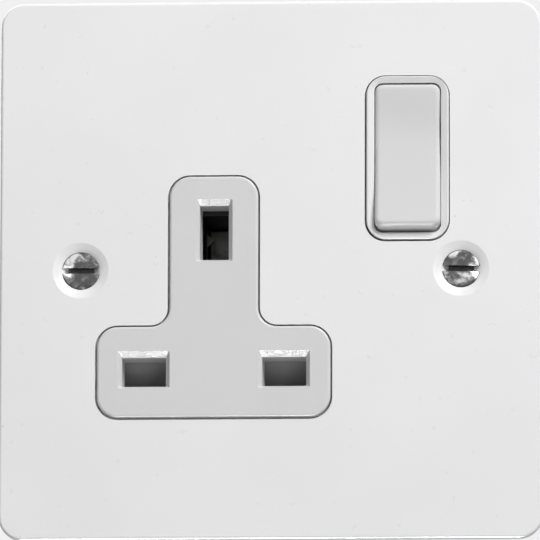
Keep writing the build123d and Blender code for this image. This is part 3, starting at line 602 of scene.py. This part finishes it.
def pointMesh(places):
    mesh = bpy.data.meshes.new("places")
    mesh.from_pydata([Vector(place) * mm for place in places], [], [])
    return mesh


# Gives a finished piece its body, hides the node that it stands for and prints its number of faces
def settle(piece, look):
    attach(piece, look["body"])
    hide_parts(look["node"])
    print(piece.name, len(piece.data.polygons), "faces")


# Puts a thread on a head, and the screw that makes at every place
def screwPiece(name, look, head, places):
    finish = coats[look["coat"]]
    sizes = {label: value * mm for label, value in look["thread"].items()}
    template = threads.grow("template", head, {**sizes, "Sides": look["sides"], "Finish": finish})
    piece = setOuts.grow(name, pointMesh(places), {
        "Template": template, "Facing": look["facing"], "Turn": look["turn"],
        "Spread": look["spread"], "Seed": look["seed"], "Finish": finish,
    })
    bpy.data.objects.remove(template)
    settle(piece, look)


# Front pieces drawn again from the frame's meshes, their edges set where the photograph has them.
# Each edge is (x range, z range, (x, y, z) shift), and the first that a point lies in moves it.
fittings = {
    "facePlate": {
        "node": "face_plate", "body": "socket", "slot": "painted_plate", "coat": "paintedPlate",
        "edges": [
            ((-29.5, 11.0), (-25.5, -8.0), (0, 0, -0.12)),
            ((-20.0, 2.0), (-8.0, 17.0), (0, 0, -0.12)),
            ((14.0, 30.0), (24.0, 32.0), (-0.05, 0, -0.12)),
            ((14.0, 27.5), (4.45, 12.0), (-0.05, 0, -0.15)),
            ((27.5, 30.0), (5.4, 12.0), (-0.05, 0, -0.15)),
        ],
    },
    "rockerCap": {
        "node": "rocker", "body": "rocker", "slot": "rocker_white", "coat": "rockerWhite",
        "edges": [((15.0, 17.3), (4.0, 31.0), (-0.09, 0, 0)), ((26.1, 28.5), (4.0, 31.0), (0.09, 0, 0))],
        # the top end of the face swells towards the frame's edge
        "swell": {"from": 21.5, "to": 29.3, "by": (0, -0.9, 0.1)},
    },
}


def shiftOf(place, look):
    total = Vector((0, 0, 0))
    for across, upward, shift in look["edges"]:
        if across[0] <= place.x <= across[1] and upward[0] <= place.z <= upward[1]:
            total = Vector(shift)
            break
    if "swell" in look:
        swell = look["swell"]
        share = min(max((place.z - swell["from"]) / (swell["to"] - swell["from"]), 0), 1)
        total += Vector(swell["by"]) * share * share * (3 - 2 * share)
    return total


for fitName, look in fittings.items():
    fitted = link(fitName, nodes[look["node"]].data.copy())
    smoothOut(fitted.data, fittedCorner)
    for vertex in fitted.data.vertices:
        vertex.co += shiftOf(vertex.co / mm, look) * mm
    shading = fitted.modifiers.new("shading", "WEIGHTED_NORMAL")
    shading.keep_sharp = True
    shading.weight = 100  # large faces keep their own direction
    fitted.data = asBuilt(fitted)
    fitted.data.materials.clear()
    fitted.data.materials.append(coats[look["coat"]])
    settle(fitted, look)


# Fixing screws: raised countersunk heads, their slots not quite level
fixingScrews = {
    "body": "socket", "slot": "nickel_screw", "coat": "nickelScrew",
    "headRadius": 3.0, "dome": 0.35, "edge": 0.06,
    "domeRings": (0.1, 0.2, 0.3, 0.4, 0.5, 0.6, 0.7, 0.8, 0.88, 0.94),  # shares of the head's radius
    "rim": [(2.93, 0.335), (2.98, 0.347), (3.0, 0.362), (2.975, 0.38)],
    "shank": [(1.75, 1.605), (1.72, 1.75), (1.39, 2.1), (0, 2.1)],
    "driver": {"length": 8.0, "width": 0.9, "depth": 1.3, "taper": 0.02},
    "thread": {"Radius": 1.75, "Depth": 0.36, "Pitch": 0.6, "Start": 1.9, "End": 24.3, "Point": 1.2},
    "sides": 24, "facing": 0.0, "spread": 0.0, "seed": 1,
    "places": {"left": (-30.15, -2.85, 0), "right": (30.15, -2.85, 0)},
    "turns": {"left": 0.4, "right": 1.3},  # degrees
}


def raisedHead(look):
    sphere = (look["headRadius"] ** 2 + look["dome"] ** 2) / (2 * look["dome"])
    profile = [(0, 0)]
    for share in look["domeRings"]:
        radius = look["headRadius"] * share
        profile.append((radius, sphere - math.sqrt(sphere**2 - radius**2)))
    head = turnedForm("raisedHead", profile + look["rim"] + look["shank"], 96)
    return carved(head, [slotTool(**look["driver"])], look["edge"])


for side, place in fixingScrews["places"].items():
    turn = math.radians(fixingScrews["turns"][side])
    look = {**fixingScrews, "node": f"fixing_screw_{side}", "turn": turn}
    screwPiece(f"fixingScrew_{side}", look, raisedHead(look), [place])


# Terminal screws: cheese heads sunk in the back of the housing, left at odd turns
terminalScrews = {
    "node": "terminal_screws", "body": "socket", "slot": "zinc_screw", "coat": "zincScrew",
    "profile": [
        (0, 0), (0.7, 0), (1.4, 0), (1.95, 0), (2.04, 0.02),
        (2.1, 0.09), (2.1, 1.55), (2.05, 1.6), (1.2, 1.6), (0, 1.6),
    ],
    "driver": {"length": 6.0, "width": 0.7, "depth": 0.8, "taper": 0.02}, "edge": 0.05,
    "thread": {"Radius": 1.5, "Depth": 0.3, "Pitch": 0.5, "Start": 1.5, "End": 3.05, "Point": 1.15},
    "sides": 24, "facing": math.pi, "turn": 0.5, "spread": 1.4, "seed": 4,
    "places": [(26.2, 22.0, -24.0), (16.9, 22.0, -24.0), (-16.0, 22.0, 25.5), (-25.0, 22.0, 25.5)],
}
cheeseHead = carved(
    turnedForm("cheeseHead", terminalScrews["profile"]),
    [slotTool(**terminalScrews["driver"])], terminalScrews["edge"],
)
screwPiece("terminalScrews", terminalScrews, cheeseHead, terminalScrews["places"])

# Housing screws: flat heads with a cross recess and a coarse thread
housingScrews = {
    "node": "housing_screws", "body": "socket", "slot": "zinc_screw", "coat": "zincScrew",
    "profile": [
        (0, 0), (0.8, 0), (1.5, 0), (1.86, 0), (1.96, 0.04),
        (2.0, 0.14), (2.0, 1.15), (1.96, 1.2), (0.9, 1.2), (0, 1.2),
    ],
    "driver": {"length": 2.4, "width": 0.6, "depth": 0.7, "taper": 0.12}, "edge": 0.04,
    "thread": {"Radius": 1.1, "Depth": 0.3, "Pitch": 0.9, "Start": 1.15, "End": 19.5, "Point": 0.35},
    "sides": 20, "facing": math.pi, "turn": 0.2, "spread": 1.5, "seed": 7,
    "places": [(8.5, 22.5, 27.0), (-27.5, 22.5, 12.0), (-28.0, 22.5, -28.0), (10.4, 22.5, -28.6)],
}
flatHead = carved(
    turnedForm("flatHead", housingScrews["profile"]),
    [slotTool(**housingScrews["driver"], turn=turn) for turn in (0.0, math.pi / 2)], housingScrews["edge"],
)
screwPiece("housingScrews", housingScrews, flatHead, housingScrews["places"])

# Springs: each stands on its foot along a direction
plungerSpring = {
    "body": "rocker", "slot": "spring_steel", "coil": 0.8, "wire": 0.12, "length": 4.95,
    "turns": 9.0, "steps": 220, "along": (0, 0.99255, -0.12187), "keep": 0.88,
}
springs = {
    "shutterSpring": {
        "body": "socket", "slot": "spring_steel", "coil": 1.52, "wire": 0.2, "length": 10.3,
        "turns": 8.0, "steps": 230, "along": (0, 0, 1), "keep": 0.46,
        "node": "shutter_spring", "joint": "shutter_slide",
        "foot": (-9.0, 5.2, -11.4), "anchor": (-9.0, 5.2, -1.1),
    },
    "plungerSpringLine": {
        **plungerSpring, "node": "plunger_spring_line", "joint": "plunger_line_slide",
        "foot": (24.35, -0.275, 17.835), "anchor": (24.35, -0.3, 17.84),
    },
    "plungerSpringNeutral": {
        **plungerSpring, "node": "plunger_spring_neutral", "joint": "plunger_neutral_slide",
        "foot": (19.05, -0.275, 17.835), "anchor": (19.05, -0.3, 17.84),
    },
}
for springName, look in springs.items():
    piece = coils.grow(springName, bpy.data.meshes.new(springName), {
        "Coil Radius": look["coil"] * mm, "Wire Radius": look["wire"] * mm, "Length": look["length"] * mm,
        "Turns": look["turns"], "Steps": look["steps"], "Finish": coats["springSteel"],
    })
    upright = Vector((0, 0, 1)).rotation_difference(Vector(look["along"])).to_matrix().to_4x4()
    piece.data.transform(Matrix.Translation(Vector(look["foot"]) * mm) @ upright)
    settle(piece, look)
    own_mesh(piece)


# The camera: a little to the right of the plate and below it, as the photograph was taken.
# Place and clip are in metres, turn, rise and roll in degrees, and the lens in millimetres.
cameraAim = {
    "place": (0.0916, -1.5, -0.2242), "turn": -3.505, "rise": 8.498, "roll": 0.12,
    "lens": 638.8, "clip": (0.01, 50),
}


def aimCamera():
    turn, rise = math.radians(cameraAim["turn"]), math.radians(cameraAim["rise"])
    forward = Vector((math.sin(turn) * math.cos(rise), math.cos(turn) * math.cos(rise), math.sin(rise)))
    camera = link("camera", bpy.data.cameras.new("camera"))
    camera.data.lens = cameraAim["lens"]
    camera.data.clip_start, camera.data.clip_end = cameraAim["clip"]
    facing = forward.to_track_quat("-Z", "Y").to_matrix().to_4x4()
    roll = Matrix.Rotation(math.radians(cameraAim["roll"]), 4, "Z")
    camera.matrix_world = Matrix.Translation(cameraAim["place"]) @ facing @ roll
    bpy.context.scene.camera = camera


aimCamera()

# Soft boxes that face the middle of the plate: place, width and height in metres, power in watts
lamps = {
    "keyBox": {"at": (0.46, -0.72, 0.75), "size": (0.45, 0.45), "power": 13.4},
    "leftBox": {"at": (-0.48, -1.1, 0.12), "size": (0.14, 0.18), "power": 0.35},
    "rightBox": {"at": (0.48, -1.1, 0.02), "size": (0.16, 0.2), "power": 0.8},
    "lowBox": {"at": (0.1, -1.0, -0.6), "size": (0.4, 0.3), "power": 0.6},
    # this one is seen only in gloss, on the slots' upper slopes
    "glintBox": {"at": (0.0, -0.08, -0.35), "size": (0.16, 0.1), "power": 6.5, "gloss": True},
    "backBox": {"at": (-0.3, 0.8, 0.5), "size": (0.7, 0.7), "power": 6.0},
}


def hangLamp(name, lamp):
    light = bpy.data.lights.new(name, "AREA")
    light.shape = "RECTANGLE"
    light.size, light.size_y = lamp["size"]
    light.energy = lamp["power"]
    holder = link(name, light)
    holder.location = lamp["at"]
    toward = Vector((0, 0, 0)) - Vector(lamp["at"])
    holder.rotation_euler = toward.to_track_quat("-Z", "Y").to_euler()
    holder.visible_camera = False
    holder.visible_diffuse = not lamp.get("gloss", False)


for lampName, lamp in lamps.items():
    hangLamp(lampName, lamp)
print("camera aimed and", len(lamps), "lamps hung")

# The room's grey as the camera sees it, and the strength of the light that it gives
roomLook = {"background": 0.88, "light": 0.18}


def seenDirectly(work):
    camera = work.node("ShaderNodeLightPath", output="Is Camera Ray")
    glossy = work.node("ShaderNodeLightPath", output="Is Glossy Ray")
    clear = work.node("ShaderNodeLightPath", output="Is Transmission Ray")
    return (camera + glossy + clear).held()


def paleRoom():
    room = bpy.data.worlds.new("paleRoom")
    bpy.context.scene.world = room
    room.use_nodes = True
    work = NodeWork(room.node_tree)
    shown = work.node("ShaderNodeBackground", None, {"Color": grey(roomLook["background"])})
    light = work.node("ShaderNodeBackground", None, {"Strength": roomLook["light"]})
    blend = work.node("ShaderNodeMixShader", None, {0: seenDirectly(work), 1: light, 2: shown})
    work.node("ShaderNodeOutputWorld", None, {"Surface": blend})


paleRoom()

# A pale floor below the plate, in metres. Part of its grey is its own glow, which stays even.
floorLook = {
    "height": -0.9, "reach": 6.0, "shades": (0.80, 0.83), "roughness": 0.8, "glow": 0.85, "glowShare": 0.75,
}


def layFloor(look):
    mesh = bpy.data.meshes.new("floor")
    reach = look["reach"]
    corners = [(-reach, -reach), (reach, -reach), (reach, reach), (-reach, reach)]
    mesh.from_pydata([(x, y, look["height"]) for x, y in corners], [], [(0, 1, 2, 3)])
    floor = link("floor", mesh)
    coat = Coat("paleFloor", grey(look["glow"]))
    darker, lighter = look["shades"]
    shade = coat.mix(coat.noise(6, 3), grey(darker), grey(lighter))
    matt = coat.node("ShaderNodeBsdfPrincipled", None, {
        "Base Color": shade, "Roughness": look["roughness"],
    })
    pale = coat.node("ShaderNodeEmission", None, {"Color": grey(look["glow"])})
    share = seenDirectly(coat) * look["glowShare"]
    coat.show(coat.node("ShaderNodeMixShader", None, {0: share, 1: matt, 2: pale}))
    mesh.materials.append(coat.material)


layFloor(floorLook)

view = bpy.context.scene.view_settings
view.view_transform = "Standard"
